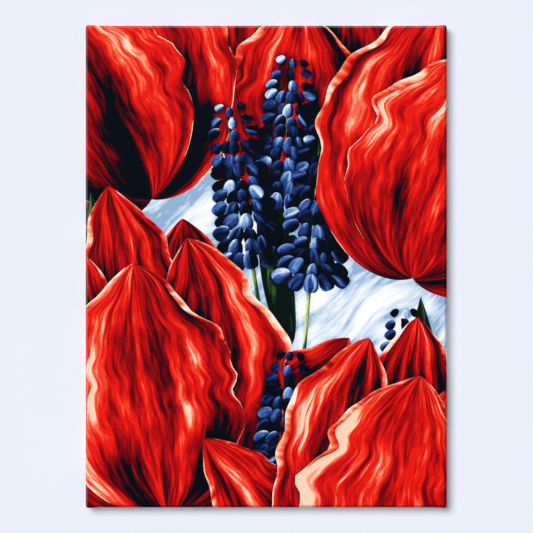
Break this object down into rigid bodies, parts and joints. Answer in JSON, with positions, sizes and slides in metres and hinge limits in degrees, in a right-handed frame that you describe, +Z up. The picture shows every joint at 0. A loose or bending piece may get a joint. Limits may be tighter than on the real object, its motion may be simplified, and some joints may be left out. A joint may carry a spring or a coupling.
{
  "type": "stretched canvas print",
  "caption": "Rectangular printed cloth stretched over a keyed wooden frame and stapled on the back, with a sawtooth hanger and bumper pads for the wall.",
  "frame": {"origin": "top of the middle notch of the sawtooth hanger, in the plane of the wall, where the wall's nail carries the print", "axes": "+X to the right as seen from the front, +Y into the wall, +Z up; the printed face looks along -Y"},
  "size_m": [0.4572, 0.0221, 0.6096],
  "materials": {
    "printed_canvas": "cotton canvas, printed and coated satin on the front and the sides, raw on the back",
    "stretcher_wood": "planed pine, unfinished",
    "key_wood": "sawn beech, unfinished",
    "staple_steel": "galvanised flat wire",
    "hanger_steel": "stamped sheet, yellow zinc plated",
    "nail_steel": "yellow zinc plated",
    "bumper_rubber": "matt moulded rubber"
  },
  "bodies": {
    "root": {"canvas": "printed_canvas", "stretcher_bar_top": "stretcher_wood", "stretcher_bar_right": "stretcher_wood", "stretcher_bar_bottom": "stretcher_wood", "stretcher_bar_left": "stretcher_wood", "corner_key_top_left": "key_wood", "corner_key_top_right": "key_wood", "corner_key_right_left": "key_wood", "corner_key_right_right": "key_wood", "corner_key_bottom_left": "key_wood", "corner_key_bottom_right": "key_wood", "corner_key_left_left": "key_wood", "corner_key_left_right": "key_wood", "hanger": "hanger_steel", "hanger_nail_left": "nail_steel", "hanger_nail_right": "nail_steel", "staple_top_1": "staple_steel", "staple_top_2": "staple_steel", "staple_top_3": "staple_steel", "staple_top_4": "staple_steel", "staple_top_5": "staple_steel", "staple_top_6": "staple_steel", "staple_top_7": "staple_steel", "staple_right_1": "staple_steel", "staple_right_2": "staple_steel", "staple_right_3": "staple_steel", "staple_right_4": "staple_steel", "staple_right_5": "staple_steel", "staple_right_6": "staple_steel", "staple_right_7": "staple_steel", "staple_right_8": "staple_steel", "staple_right_9": "staple_steel", "staple_bottom_1": "staple_steel", "staple_bottom_2": "staple_steel", "staple_bottom_3": "staple_steel", "staple_bottom_4": "staple_steel", "staple_bottom_5": "staple_steel", "staple_bottom_6": "staple_steel", "staple_bottom_7": "staple_steel", "staple_left_1": "staple_steel", "staple_left_2": "staple_steel", "staple_left_3": "staple_steel", "staple_left_4": "staple_steel", "staple_left_5": "staple_steel", "staple_left_6": "staple_steel", "staple_left_7": "staple_steel", "staple_left_8": "staple_steel", "staple_left_9": "staple_steel", "staple_corner_1": "staple_steel", "staple_corner_2": "staple_steel", "staple_corner_3": "staple_steel", "staple_corner_4": "staple_steel", "bumper_left": "bumper_rubber", "bumper_right": "bumper_rubber"}
  },
  "joints": []
}
